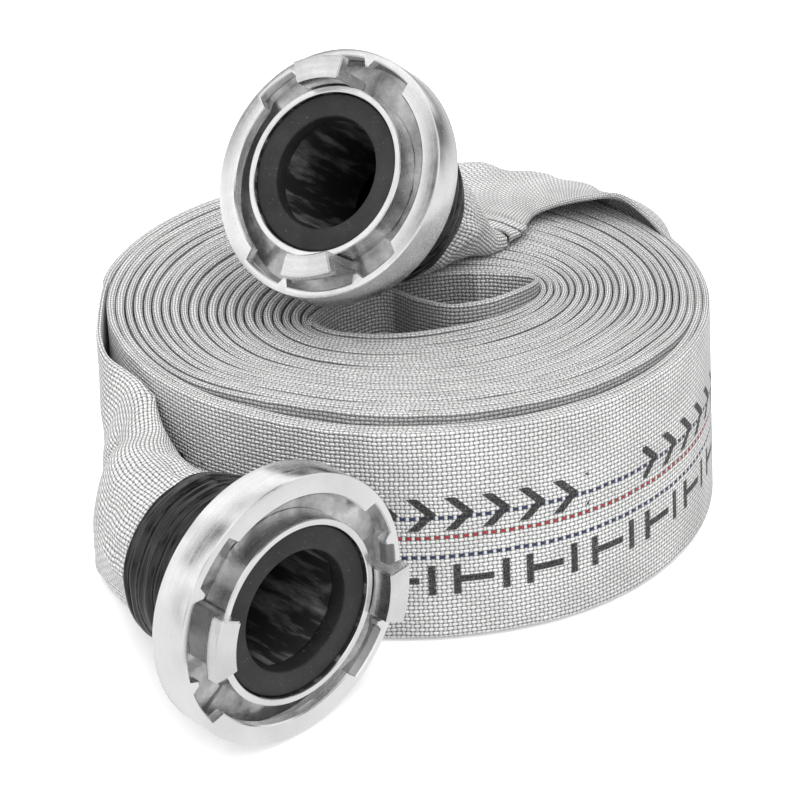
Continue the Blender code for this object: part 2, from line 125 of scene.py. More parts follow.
def ease(values, low, high):
    """0 below low, 1 above high and smooth between them."""
    part = np.clip((np.asarray(values, float) - low) / (high - low), 0, 1)
    return part * part * (3 - 2 * part)


def unit(vectors):
    return vectors / np.maximum(np.linalg.norm(vectors, axis=-1, keepdims=True), 1e-12)


def smooth_through(keys, knots, places):
    """A smooth curve through keys (keys first, then any shape) at the given places."""
    flat = keys.reshape(len(keys), -1)
    slopes = np.gradient(flat, knots, axis=0)
    low = np.clip(np.searchsorted(knots, places, "right") - 1, 0, len(knots) - 2)
    span = (knots[low + 1] - knots[low])[:, None]
    part = (places - knots[low])[:, None] / span
    made = (2 * part**3 - 3 * part**2 + 1) * flat[low] + (3 * part**2 - 2 * part**3) * flat[low + 1]
    made += span * ((part**3 - 2 * part**2 + part) * slopes[low] + (part**3 - part**2) * slopes[low + 1])
    return made.reshape(len(places), *keys.shape[1:])


def knots_of(keys):
    """How far along each key is, from the mean distance between key lines or places."""
    gaps = np.linalg.norm(np.diff(keys, axis=0), axis=-1)
    gaps = gaps.mean(axis=1) if gaps.ndim > 1 else gaps
    return np.concatenate(([0], np.cumsum(gaps)))


# Meshes from rings of points


def add_object(name, data, *materials):
    obj = bpy.data.objects.new(name, data)
    bpy.context.scene.collection.objects.link(obj)
    for finish in materials:
        data.materials.append(finish)
    return obj


def ring_mesh(name, rings, along=None, around=None, closed=False, caps=False):
    """Quads over rings of points, stations by points by 3. along and around give the UVs in metres."""
    stations, count = rings.shape[:2]
    rows = stations if closed else stations - 1
    s, k = np.meshgrid(np.arange(rows), np.arange(count), indexing="ij")
    s2, k2 = (s + 1) % stations, (k + 1) % count
    faces = np.stack((s * count + k, s2 * count + k, s2 * count + k2, s * count + k2), -1)
    faces = faces.reshape(-1, 4).tolist()
    if caps:
        faces.append(list(range(count)))
        faces.append([(stations - 1) * count + i for i in range(count)][::-1])
    mesh = bpy.data.meshes.new(name)
    mesh.from_pydata(rings.reshape(-1, 3).tolist(), [], faces)
    if along is not None:
        v = around
        flat = np.stack((along[s], v[k], along[s2], v[k], along[s2], v[k + 1], along[s], v[k + 1]), -1)
        layer = mesh.uv_layers.new(name="weave")
        values = np.full(len(mesh.loops) * 2, CAP_PLACE, np.float32)
        values[: flat.size] = flat.ravel()
        layer.data.foreach_set("uv", values)
    shape = bmesh.new()
    shape.from_mesh(mesh)
    if shape.calc_volume(signed=True) < 0:
        bmesh.ops.reverse_faces(shape, faces=shape.faces)
    shape.to_mesh(mesh)
    shape.free()
    mesh.shade_smooth()
    return mesh


# The flat hose: a ring of points round its section, and the same ring rounded out


FACE_POINTS = 5
EDGE_POINTS = 4


def flat_ring(points=FACE_POINTS, edge=EDGE_POINTS):
    """Three arrays for a ring round the flat section: how far along the straight part, from -1 to 1, how
    far out over the edge, and how far through the thickness."""
    straight, outward, through = [], [], []
    turns = np.linspace(0, math.pi, edge + 2)[1:-1]
    for side in (1, -1):
        for value in np.linspace(-1, 1, points):
            straight.append(side * value)
            outward.append(0.0)
            through.append(side)
        for turn in turns:
            straight.append(side)
            outward.append(side * math.sin(turn) ** EDGE_BOXY)
            through.append(side * math.cos(turn))
    return np.array(straight), np.array(outward), np.array(through)


def around_lengths(points=FACE_POINTS, edge=EDGE_POINTS):
    """UV distance round the ring, zero at the middle of the outer face, with one more value to close it."""
    straight, outward, through = flat_ring(points, edge)
    half = HOSE_WIDTH / 2 - EDGE_DEPTH
    across = straight * half + outward * EDGE_DEPTH
    deep = through * EDGE_THREADS
    steps = np.hypot(np.diff(np.append(across, across[0])), np.diff(np.append(deep, deep[0])))
    lengths = np.concatenate(([0], np.cumsum(steps)))
    lengths -= np.interp((points - 1) / 2, np.arange(len(lengths)), lengths)
    return lengths


ROUND_ABOUT = around_lengths()[-1] - around_lengths()[0]
WARP_PITCH = ROUND_ABOUT / THREADS_ROUND


def flat_tube(middles, half_thick, points=FACE_POINTS, edge=EDGE_POINTS):
    """Rings of the flat hose over a grid of middle points, stations by across by 3."""
    along = unit(np.gradient(middles, axis=0))
    across = unit(np.gradient(middles, axis=1))
    normal = unit(np.cross(along, across))
    straight, outward, through = flat_ring(points, edge)
    column = (straight + 1) / 2 * (middles.shape[1] - 1)
    low = np.clip(np.floor(column).astype(int), 0, middles.shape[1] - 2)
    part = (column - low)[None, :, None]

    def sample(grid):
        return grid[:, low] * (1 - part) + grid[:, low + 1] * part

    edge_out = sample(across) * (outward * EDGE_DEPTH)[None, :, None]
    side_out = unit(sample(normal)) * (half_thick[:, None] * through[None])[..., None]
    return sample(middles) + edge_out + side_out


# The roll


def oval(angle, layer):
    """Plan position of a winding: angle round the roll and layer from the eye out, as arrays."""
    part = (layer / LAYERS)[..., None]
    turned = angle - EYE_TURN
    eye = np.stack((EYE_HALF[0] * np.cos(turned), EYE_HALF[1] * np.sin(turned)), -1)
    turn = np.array(((math.cos(EYE_TURN), math.sin(EYE_TURN)), (-math.sin(EYE_TURN), math.cos(EYE_TURN))))
    rim = np.stack((RIM_HALF[0] * np.cos(angle), RIM_HALF[1] * np.sin(angle)), -1)
    return (EYE_CENTRE + eye @ turn) * (1 - part) + rim * part


def pitch(angle, layer):
    """Distance to the next layer, square to the winding."""
    here, after = oval(angle, layer), oval(angle + 0.01, layer)
    ahead = unit(after - here)
    outward = oval(angle, layer + 1) - here
    return np.abs(ahead[..., 0] * outward[..., 1] - ahead[..., 1] * outward[..., 0])


def leaned(points):
    """The windings lean outwards and towards the front right, low down."""
    low = np.clip(1 - points[..., 2:] / HOSE_WIDTH, 0, 1)
    moved = points.copy()
    moved[..., :2] = points[..., :2] * (1 + SPREAD * low) + LEAN * low
    return moved


def strand(first_layer, turns):
    """Angle and layer along one strand, from the mid-length fold out."""
    steps = np.arange(int(turns * STEPS_PER_TURN) + 1) / STEPS_PER_TURN
    return FOLD_ANGLE + 2 * math.pi * (first_layer + steps), first_layer + 2 * steps


def hairpin(inner, outer, heading):
    """The U-turn of the mid-length fold, in plan."""
    middle, side = (inner + outer) / 2, (inner - outer) / 2
    turns = np.linspace(0, math.pi, FOLD_POINTS + 2)[1:-1][:, None]
    return middle + side * np.cos(turns) + heading * 0.5 * np.linalg.norm(side) * np.sin(turns)


def across_eye(angle, place):
    """Strand a's places, with its first stretch led across the eye."""
    early = int(np.searchsorted(angle, JOIN_ANGLE))
    keys = np.concatenate((np.array(ACROSS_EYE) * MM, place[early : early + 3]))
    knots = knots_of(keys)
    made = place.copy()
    made[:early] = smooth_through(keys, knots, np.linspace(0, knots[len(ACROSS_EYE)], early + 1)[:-1])
    return made


def winding_lift(angle, layer, strand_b):
    """How far each winding stands above the floor. The band in front of the eye is proud, and at the
    front about the last two windings have slipped below the others."""
    proud = 1 - ease(angle, *BAND_ENDS)
    if not strand_b:
        proud = proud * BAND_SHARE_A * ease(angle, *BAND_BEGINS_A)
    turned = np.mod(angle, 2 * math.pi)
    front = ease(turned, *STEP_BEGINS) * (1 - ease(turned, *STEP_ENDS))
    raised = front * (1 - ease(layer, *STEP_OUTER)) * ease(layer, *STEP_INNER)
    return EYE_LIFT * proud + INNER_STEP * raised


def roll_path():
    """Plan places, layers, half thicknesses and lifts of the hose, from end a's seam to end b's."""
    angle_a, layer_a = strand(0, TURNS_A)
    angle_b, layer_b = strand(1, TURNS_B)
    place_a, place_b = across_eye(angle_a, oval(angle_a, layer_a)), oval(angle_b, layer_b)
    fold = hairpin(place_a[0], place_b[0], unit(place_a[0] - place_a[1]))
    layer = np.concatenate((layer_a[::-1], np.full(len(fold), 0.5), layer_b))
    angle = np.concatenate((angle_a[::-1], np.full(len(fold), FOLD_ANGLE), angle_b))
    place = np.concatenate((place_a[::-1], fold, place_b))
    half = pitch(angle, layer) / 2 - LAYER_GAP / 2
    half[len(layer_a) - FOLD_STRETCH : len(layer_a) + len(fold)] = FOLD_HALF
    lift_a = winding_lift(angle_a, layer_a, False)[::-1]
    lift_b = winding_lift(angle_b, layer_b, True)
    lift = np.concatenate((lift_a, np.linspace(lift_a[-1], lift_b[0], len(fold)), lift_b))
    return place, layer, half, lift


def roll_rings():
    """Rings of the windings, measured from the roll's middle, and how far along the hose each one is."""
    place, _, half, lift = roll_path()
    length = knots_of(place)
    lift += sum(depth * (1 + wander(length, scale, seed)) / 2 for depth, scale, seed in HEIGHT_WAVES)
    reach = HOSE_WIDTH / 2 - EDGE_DEPTH
    shares = np.linspace(-1, 1, FACE_POINTS)
    middles = np.zeros((len(place), FACE_POINTS, 3))
    middles[..., :2] = place[:, None]
    middles[..., 2] = (HOSE_WIDTH / 2 + lift)[:, None] + shares * reach
    slack = 1 - SLACK_EVERYWHERE * (1 + wander(length, 14.0, 5)) / 2
    slack -= SLACK_IN_PLACES * ease(wander(length, 0.9, 9), 0.15, 0.8)
    return leaned(flat_tube(middles, half * slack)), length


WINDING_RINGS, WINDING_LENGTHS = roll_rings()


# Painted shade: the weave darkens the faces where windings lie against each other
def painted_shade_between_windings():
    """1 on the faces that lie against another winding and 0 where the hose shows, for each ring point."""
    place, layer, _, _ = roll_path()
    ahead = unit(np.gradient(place, axis=0))
    outward = place - EYE_CENTRE
    outer_side = np.sign(ahead[:, 1] * outward[:, 0] - ahead[:, 0] * outward[:, 1])
    _, edge, through = flat_ring()
    outwards = through[None, :] * outer_side[:, None]
    hidden = np.ones_like(outwards)
    hidden[(layer[:, None] > LAYERS - 1.55) & (outwards > -0.5)] = 0
    hidden[(layer[:, None] < 1.3) & (outwards < 0.5)] = 0
    return hidden * (1 - ease(np.abs(edge), 0.0, 0.45))[None, :]


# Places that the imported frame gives


def joint_vector(name, key):
    return np.array(JOINTS[name][key], float)


HINGE_A = joint_vector("coupling_a_swing", "pos_m")
HINGE_B = joint_vector("coupling_b_lift", "pos_m")
ACROSS_A = np.array((0.0, 0.0, 1.0))
ACROSS_B = -joint_vector("coupling_b_lift", "axis")
TOWARDS_B = np.cross(ACROSS_B, (0.0, 0.0, 1.0))
RING_PIVOT = 10.0 * MM


def coupling_front(suffix):
    """(middle of the lug ring's front face, direction it faces), from the ring's joint."""
    name = f"lug_ring_{suffix}_spin"
    ahead = unit(joint_vector(name, "axis"))
    return joint_vector(name, "pos_m") + ahead * RING_PIVOT, ahead


# The loose ends


END_POINTS = 37
END_EDGE = 4
NECK_BACK = 60.0 * MM
NECK_FRONT = 21.0 * MM
NECK_R = 28.3 * MM
BEND_R = 6.0 * MM
CORNER_R = 125.5 * MM
CORNER_Z = 88.3 * MM
# The upper edge of strand b's crossover in mm, the angle round the rim and the slant in degrees
CROSSOVER = (
    ((103, 56, 92), 28, 8),
    ((92, 61, 98), 37, 20),
    ((78, 60, 97.5), 48, 35),
    ((66, 62, 93.5), 60, 50),
    ((57, 60, 90.5), 73, 75),
)
FLAT_ON_TOP = (((4, 121, 89.5), (53, 54, 89.5)), ((-9, 108, 89.5), (51, 48, 89.5)))
COLUMNS = 33
END_STEP = 1.6 * MM
# Length of hose between the crossover's last line and hinge b
SEAM_GAP = 3 * MM
# Creases of the loose ends: place and push in mm, and how wide each one is
CREASES = {
    "a": (
        ((-114, -68, 46), (6.0, 1.0, 0.0), 8),
        ((-112, -72, 64), (-2.0, -1.0, 0.0), 8),
        ((-99, -97, 82), (1.0, 1.0, -6.5), 9),
        ((-108, -84, 56), (-3.0, -2.0, 0.0), 10),
        ((-103, -95, 68), (-2.5, -1.5, 1.0), 8),
        ((-112, -84, 30), (2.5, 1.5, 0.0), 10),
        ((-106, -98, 12), (2.5, 1.5, 0.0), 9),
    ),
    "b": (
        ((24, 34, 100), (0.0, 1.5, -4.0), 8),
        ((12, 36, 110), (0.0, -0.6, 1.2), 6),
        ((2, 38, 108), (0.3, 0.5, -1.2), 6),
        ((34, 44, 92), (1.0, 1.0, 3.0), 9),
        ((46, 66, 92), (0.0, 0.0, 1.0), 14),
        ((20, 84, 92), (0.0, 0.0, -1.2), 16),
    ),
}
# Sharp folds: from and to in mm, push in mm and how far each side it reaches
FOLDS = {
    "a": (
        ((-96, -80, 80), (-107, -98, 66), (3.4, 1.7, -2.4), 3.4),
        ((-107, -98, 68), (-112, -92, 40), (3.4, 1.6, 0.0), 3.4),
        ((-107, -98, 68), (-86, -112, 76), (1.2, 0.8, -2.6), 3.0),
    ),
    "b": (
        ((34, 30, 92), (12, 40, 108), (-1.2, 0.6, -2.6), 4.0),
        ((36, 38, 92), (24, 58, 95), (-0.4, 0.4, -1.6), 4.0),
    ),
}
CRUMPLE_REACH = {"a": 40.0 * MM, "b": 28.0 * MM}
CRUMPLE_DEPTH = {"a": 1.6 * MM, "b": 2.6 * MM}
CRUMPLE_SCALE = 75
PLEATS = 13
PLEAT_DEPTH = 1.1 * MM
PLEAT_REACH = 26.0 * MM
LEAVE_A = np.array((-120.6, -22.0)) * MM
# Depths of the skins below the surface, where the hose is flat and where it is round
JACKET_SKINS = ((0.0, 0.0), (0.5 * MM, 1.2 * MM))
LINING_SKINS = ((0.55 * MM, 1.3 * MM), (0.9 * MM, 1.9 * MM))
# Sections of the loose ends: middle in mm, half width, half thickness, how boxy, and at end a the lean
END_A = (
    ((-116.5, -60, 42.5), 42.3, 1.8, 0.3, 0.08),
    ((-109.0, -79, 42.6), 41.0, 4.5, 0.5, 0.27),
    ((-101.0, -98, 43), 37.5, 12.5, 0.8, 0.22),
    ((-93.5, -115, 44), 33.0, 21.5, 1.0, 0.05),
)
END_B = (
    ((5.0, 46.0, 92.6), 41.0, 4.2, 0.5),
    ((4.0, 40.5, 95.8), 38.8, 8.0, 0.68),
    ((2.8, 34.0, 100.6), 36.0, 12.5, 0.85),
)
ACROSS_NECK_B = unit(np.array((0.86, -0.50, 0.0)))


def in_roll(place):
    """A place, or an array of them, given in mm from the roll's middle."""
    return np.array(place) * MM + ROLL_PLACE


def resample(line, count):
    """Points at even steps along a polyline, with its corners rounded."""
    lengths = knots_of(line)
    fine = np.linspace(0, lengths[-1], 241)
    dense = np.stack([np.interp(fine, lengths, line[:, axis]) for axis in range(3)], -1)
    window = int(BEND_R / (fine[1] - fine[0])) | 1
    padded = np.pad(dense, ((window // 2, window // 2), (0, 0)), mode="reflect", reflect_type="odd")
    kernel = np.ones(window) / window
    soft = np.stack([np.convolve(padded[:, axis], kernel, "valid") for axis in range(3)], -1)
    lengths = knots_of(soft)
    places = np.linspace(0, lengths[-1], count)
    return np.stack([np.interp(places, lengths, soft[:, axis]) for axis in range(3)], -1)


def crossover_middles():
    """Lines of points over strand b's crossover, from the windings' end to near hinge b."""
    angle, layer = strand(1, TURNS_B)
    reach = HOSE_WIDTH / 2 - EDGE_DEPTH
    lines = []
    for place in oval(angle[-3:-1], layer[-3:-1]):
        ends = np.array([[*place, HOSE_WIDTH / 2 - reach], [*place, HOSE_WIDTH / 2 + reach]])
        lines.append(resample(leaned(ends) + ROLL_PLACE, COLUMNS))
    for edge, rim_degrees, slant_degrees in CROSSOVER:
        upper = np.array(edge) * MM
        turn, slant = math.radians(rim_degrees), math.radians(slant_degrees)
        corner = np.array((CORNER_R * math.cos(turn), CORNER_R * math.sin(turn), CORNER_Z))
        hanging = HOSE_WIDTH - np.linalg.norm(upper - corner)
        turn += hanging * math.sin(slant) / CORNER_R
        low = CORNER_Z - hanging * math.cos(slant)
        lower = np.array((CORNER_R * math.cos(turn), CORNER_R * math.sin(turn), low))
        lines.append(resample(np.array((lower, corner, upper)) + ROLL_PLACE, COLUMNS))
    for ends in FLAT_ON_TOP:
        lines.append(resample(in_roll(ends), COLUMNS))
    half = ACROSS_B * reach
    for depth in (8 * MM, 3 * MM):
        place = HINGE_B - TOWARDS_B * depth
        lines.append(resample(np.array((place - half, place + half)), COLUMNS))
    return np.array(lines)


def end_sections(suffix):
    """Key sections of a loose end, from its hinge to the tape: middle, direction across, half width, half
    thickness and how boxy."""
    front, ahead = coupling_front(suffix)
    flat_half = (HOSE_WIDTH / 2, FLAT_HALF, 0.25)
    if suffix == "a":
        rows = [(HINGE_A, ACROSS_A, *flat_half)]
        for place, wide, thick, boxy, lean in END_A:
            rows.append((in_roll(place), unit(np.array((lean, 0, 1))), wide * MM, thick * MM, boxy))
        neck_across = ACROSS_A
    else:
        rows = [(HINGE_B, ACROSS_B, *flat_half)]
        for index, (place, wide, thick, boxy) in enumerate(END_B):
            across = unit(ACROSS_B + (ACROSS_NECK_B - ACROSS_B) * (index + 1) / len(END_B))
            rows.append((in_roll(place), across, wide * MM, thick * MM, boxy))
        neck_across = ACROSS_NECK_B
    for depth in (NECK_BACK, (NECK_BACK + NECK_FRONT) / 2, NECK_FRONT):
        rows.append((front - ahead * depth, neck_across, NECK_R, NECK_R, 1.0))
    return rows


def section_shares():
    """Where each ring point lies along the flat hose's outline, from the middle of its lower edge."""
    lengths = around_lengths(END_POINTS, END_EDGE)
    shares = (lengths[:-1] - lengths[0]) / (lengths[-1] - lengths[0])
    lower_edge = 1 - shares[2 * END_POINTS + END_EDGE - 1]
    return (shares + lower_edge / 2) % 1.0


def outline(half_width, half_thick, boxy, shares):
    """Points at the shares of a superellipse's outline, from its lower edge, as (across, through)."""
    turns = np.linspace(0, 2 * math.pi, 1441)
    across = np.sign(-np.cos(turns)) * np.abs(np.cos(turns)) ** boxy * half_width
    through = np.sign(np.sin(turns)) * np.abs(np.sin(turns)) ** boxy * half_thick
    lengths = np.concatenate(([0], np.cumsum(np.hypot(np.diff(across), np.diff(through)))))
    lengths /= lengths[-1]
    return np.interp(shares, lengths, across), np.interp(shares, lengths, through)


def section_rings(rows, depths):
    """Rings through key sections, about even steps apart, and how far along each one is.
    depths is how far inside the hose's skin they lie, where it is flat and where it is round."""
    places = np.array([row[0] for row in rows])
    across = np.array([row[1] for row in rows])
    sizes = np.array([row[2:] for row in rows])
    knots = knots_of(places)
    steps = np.linspace(0, knots[-1], int(knots[-1] / END_STEP) + 1)
    middle = smooth_through(places, knots, steps)
    across = smooth_through(across, knots, steps)
    sizes = np.stack([np.interp(steps, knots, sizes[:, index]) for index in range(3)], -1)
    along = unit(np.gradient(middle, axis=0))
    across = unit(across - along * (across * along).sum(-1, keepdims=True))
    through = np.cross(along, across)
    shares = section_shares()
    made = []
    for place, wide, deep, (half_width, half_thick, boxy) in zip(middle, across, through, sizes):
        inset = np.interp(half_thick, (FLAT_HALF, NECK_R), depths)
        x, y = outline(half_width - inset, half_thick - inset, boxy, shares)
        made.append(place + wide * x[:, None] + deep * y[:, None])
    return np.array(made), steps


def standing_middle(place):
    """The middle of the hose where it stands on edge at a place in the roll's plan."""
    return np.array((place[0], place[1], HOSE_WIDTH / 2)) + ROLL_PLACE


def end_skin(suffix, depths):
    """One skin of a loose end, as rings from end to end and how far along the hose each one is."""
    rows = end_sections(suffix)
    if suffix == "a":
        angle, layer = strand(0, TURNS_A)
        for place in (LEAVE_A, *oval(angle, layer)[[-1, -3]]):
            rows.insert(0, (standing_middle(place), ACROSS_A, HOSE_WIDTH / 2, FLAT_HALF, 0.25))
        made, steps = section_rings(rows[::-1], depths)
        return made, steps - steps[-1]
    lines = crossover_middles()
    knots = knots_of(lines)
    places = np.linspace(0, knots[-1], int(knots[-1] / END_STEP) + 1)
    half = np.full(len(places), FLAT_HALF - depths[0])
    crossover = flat_tube(smooth_through(lines, knots, places), half, END_POINTS, END_EDGE)
    made, steps = section_rings(rows, depths)
    steps = np.concatenate((places, steps + places[-1] + SEAM_GAP)) + WINDING_LENGTHS[-1]
    return np.concatenate((crossover, made)), steps


def creased(points, suffix):
    """Points of a skin after the creases and, near the tape, the pleats that the binding gathers."""
    made = points.copy()
    for place, push, size in CREASES[suffix]:
        away = points - ROLL_PLACE - np.array(place) * MM
        near = np.exp(-(away**2).sum(-1) / (2 * (size * MM) ** 2))
        made += near[..., None] * np.array(push) * MM
    for start, end, push, reach in FOLDS[suffix]:
        first, last = in_roll(start), in_roll(end)
        line = last - first
        share = np.clip((points - first) @ line / (line @ line), 0, 1)[..., None]
        away = np.linalg.norm(points - first - share * line, axis=-1)
        made += np.exp(-away / (reach * MM))[..., None] * np.array(push) * MM
    front, ahead = coupling_front(suffix)
    behind = (front - points) @ ahead - NECK_BACK
    loose = ease(behind, 0, 8 * MM) * (1 - ease(behind, 14 * MM, CRUMPLE_REACH[suffix]))
    for index in np.argwhere(loose > 0.01):
        place = Vector(points[tuple(index)])
        push = noise.noise_vector(place * CRUMPLE_SCALE)
        push += noise.noise_vector(place * (2 * CRUMPLE_SCALE)) * 0.4
        made[tuple(index)] += np.array(push) * loose[tuple(index)] * CRUMPLE_DEPTH[suffix]
    gathered = ease(behind, -8 * MM, 2 * MM) * (1 - ease(behind, 2 * MM, PLEAT_REACH))
    radial = points - front + (behind + NECK_BACK)[..., None] * ahead
    turn = np.linspace(0, 2 * math.pi, points.shape[1], endpoint=False)[None, :]
    waver = wander(turn[0] * 0.9, 1.0, 5)[None, :]
    folds = np.sin(PLEATS * turn + 3 * waver) * (0.6 + 0.4 * waver)
    return made + unit(radial) * (gathered * folds * PLEAT_DEPTH)[..., None]


def loose_end(name, suffix, outer, inner, finish):
    """A hollow loose end, from the roll through its hinge to the coupling."""
    skin, steps = end_skin(suffix, outer)
    bore, _ = end_skin(suffix, inner)
    around = around_lengths(END_POINTS, END_EDGE)
    if suffix == "b":
        around = around + ROUND_ABOUT / 2
    skins = creased(np.concatenate((skin, bore[::-1])), suffix)
    along = np.concatenate((steps, steps[::-1]))
    obj = add_object(name, ring_mesh(name, skins, along, around, closed=True), finish)
    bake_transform(obj)
    return obj


# Couplings, in a frame whose +Z is the way the coupling faces and whose +Y points at a lug


RING_STEPS = 360
# How far the first lug is turned from straight up, in degrees clockwise seen from the front
LUGS = {"a": 101.0, "b": -18.6}
RING_R = 49.0 * MM
RING_BACK = -15.5 * MM
RIM_R = 46.0 * MM
FLANGE_R = 41.5 * MM
NIB_R = 43.0 * MM
FLANGE_DEPTH = 4.0 * MM
FLOOR = -9.0 * MM
BORE = 31.4 * MM
# Spans round the ring in degrees from a lug
FLANGE_SPAN = (48.0, 135.0)
NIB_SPAN = (19.0, 23.0)
SLOT_SPAN = (-45, -20)
RAMP_SPAN = (23, 44)
SLOT_RISE = 2.6 * MM
RAMP_RISE = 1.6 * MM
BEVEL = 0.8 * MM
LUG_HALF_SPAN = 15
LUG_IN, LUG_WEB, LUG_OUT = 34.3 * MM, 38.7 * MM, 43.4 * MM
LUG_FOOT, LUG_HOOK, LUG_TOP = -9.4 * MM, 5.0 * MM, 10.6 * MM
COLLAR_R = 33.8 * MM
COLLAR_FRONT = 2.0 * MM
COLLAR_BACK = -8.7 * MM
SEAT_R = 31.2 * MM
SEAT_FLOOR = -7 * MM
JOURNAL_R = 31.1 * MM
JOURNAL_BACK = -19.6 * MM
GROOVE_R = 29.6 * MM
GROOVE = (-15.8 * MM, -18.2 * MM)
SHANK_R = 24.7 * MM
TAIL_BORE = 22.3 * MM
TAIL_END = -60.0 * MM
SEAL_BACK = -6.7 * MM


def coupling_matrix(suffix):
    front, ahead = (Vector(value) for value in coupling_front(suffix))
    up = (Vector((0, 0, 1)) - ahead * ahead.z).normalized()
    basis = Matrix((up.cross(ahead), up, ahead)).transposed().to_4x4()
    return Matrix.Translation(front) @ basis @ Matrix.Rotation(-math.radians(LUGS[suffix]), 4, "Z")


def set_down(obj, suffix):
    """Moves a coupling's mesh to its place, and keeps where each point was for the material."""
    mesh = obj.data
    local = np.empty(len(mesh.vertices) * 3, np.float32)
    mesh.vertices.foreach_get("co", local)
    mesh.attributes.new("local", "FLOAT_VECTOR", "POINT").data.foreach_set("vector", local)
    mesh.transform(coupling_matrix(suffix))


def turn_out(profile, angles):
    """Rings of a (radius, height) profile at angles in degrees, clockwise from +Y seen from the front."""
    turn = np.radians(angles)[:, None]
    radius, height = profile[..., 0], profile[..., 1]
    return np.stack((radius * np.sin(turn), radius * np.cos(turn), height + 0 * turn), -1)


def turned(name, profile, *materials, steps=120):
    angles = np.arange(steps) * 360 / steps
    rings = turn_out(np.broadcast_to(np.array(profile), (steps, len(profile), 2)), angles)
    mesh = ring_mesh(name, rings, closed=True)
    mesh.set_sharp_from_angle(angle=math.radians(30))
    return add_object(name, mesh, *materials)


def rounded(profile, radius, turns):
    """A closed (radius, height) profile with its corners rounded."""
    points = np.array(profile, float)
    made = []
    for index, corner in enumerate(points):
        before, after = points[index - 1], points[(index + 1) % len(points)]
        reach = min(radius, np.linalg.norm(before - corner) / 2.2, np.linalg.norm(after - corner) / 2.2)
        start = corner + unit(before - corner) * reach
        end = corner + unit(after - corner) * reach
        for part in np.linspace(0, 1, turns):
            made.append(start * (1 - part)**2 + corner * 2 * part * (1 - part) + end * part**2)
    return made


def span_share(angles, low, high, soft=0.7):
    """1 between two angles and 0 outside them, for each lug in turn."""
    middle, half = (low + high) / 2, (high - low) / 2
    away = np.abs((angles - middle + 90) % 180 - 90)
    return 1 - ease(away, half - soft, half + soft)


def lug_ring_profile(angles):
    """The ring's section at each angle, and how cast (1) or machined (0) each of its points is."""
    flange = span_share(angles, *FLANGE_SPAN)
    nib = np.maximum(span_share(angles, *NIB_SPAN), span_share(angles, -NIB_SPAN[1], -NIB_SPAN[0]))
    inner = RIM_R - (RIM_R - FLANGE_R) * flange - (RIM_R - NIB_R) * nib * (1 - flange)
    roof = np.minimum(inner + 0.3 * MM, RIM_R)
    slot = span_share(angles, *SLOT_SPAN, 4.0)
    ramp = span_share(angles, *RAMP_SPAN, 5.0)
    floor = FLOOR + SLOT_RISE * slot + RAMP_RISE * ramp
    rows = [
        (RING_R - BEVEL, RING_BACK, 0),
        (RING_R - BEVEL / 4, RING_BACK + BEVEL / 4, 0),
        (RING_R, RING_BACK + BEVEL, 0),
        (RING_R, -BEVEL, 0),
        (RING_R - BEVEL / 4, -BEVEL / 4, 0),
        (RING_R - BEVEL, 0 * MM, 0),
        (inner + 0.5 * MM, 0 * MM, 0),
        (inner, -0.4 * MM, 0),
        (inner, -FLANGE_DEPTH + 0.4 * MM, 0.1),
        (roof, -FLANGE_DEPTH, 1),
        (RIM_R - 0.2 * MM, -FLANGE_DEPTH, 1),
        (RIM_R, -FLANGE_DEPTH - 0.4 * MM, 1),
        (RIM_R, floor + 1.6 * MM, 1),
        (RIM_R - 1.4 * MM, floor, 1),
    ]
    for part in (0.15, 0.3, 0.45, 0.6, 0.75, 0.9):
        rows.append((RIM_R + (COLLAR_R - RIM_R) * part, floor, 1))
    rows += [(BORE, FLOOR, 1), (BORE, RING_BACK, 0)]
    profile = np.array([[np.broadcast_to(value, angles.shape) for value in row] for row in rows])
    return profile[:, :2].transpose(2, 0, 1).copy(), profile[:, 2].T.copy()


def lug_mesh():
    """One lug: an L section swept over its arc, with softened edges and a cast neck."""
    angles = np.linspace(-LUG_HALF_SPAN, LUG_HALF_SPAN, 13)
    outline_points = [(LUG_IN, LUG_FOOT), (LUG_IN, LUG_TOP), (LUG_OUT, LUG_TOP), (LUG_OUT, 5.6 * MM),
                      (LUG_WEB, LUG_HOOK), (LUG_WEB, LUG_FOOT)]
    profile = rounded(outline_points, 0.8 * MM, 4)
    rings = turn_out(np.broadcast_to(np.array(profile), (len(angles), len(profile), 2)), angles)
    mesh = ring_mesh("lug", rings, caps=True)
    shape = bmesh.new()
    shape.from_mesh(mesh)
    rims = [edge for edge in shape.edges if edge.calc_face_angle() > math.radians(50)]
    bmesh.ops.bevel(shape, geom=rims, offset=0.5 * MM, segments=2, affect="EDGES")
    share = shape.verts.layers.float.new("cast")
    for vertex in shape.verts:
        vertex[share] = 0.2 + 0.8 * float(ease(-vertex.co.z, -4 * MM, 2 * MM))
    shape.to_mesh(mesh)
    shape.free()
    return mesh


def roughened(rings, cast):
    """The cast parts of the ring, with the uneven surface that a mould leaves."""
    made = rings.copy()
    for s, k in np.argwhere(cast > 0.5):
        place = Vector(rings[s, k])
        made[s, k, 2] += 0.35 * MM * noise.noise(place * 130) + 0.15 * MM * noise.noise(place * 420)
    return made


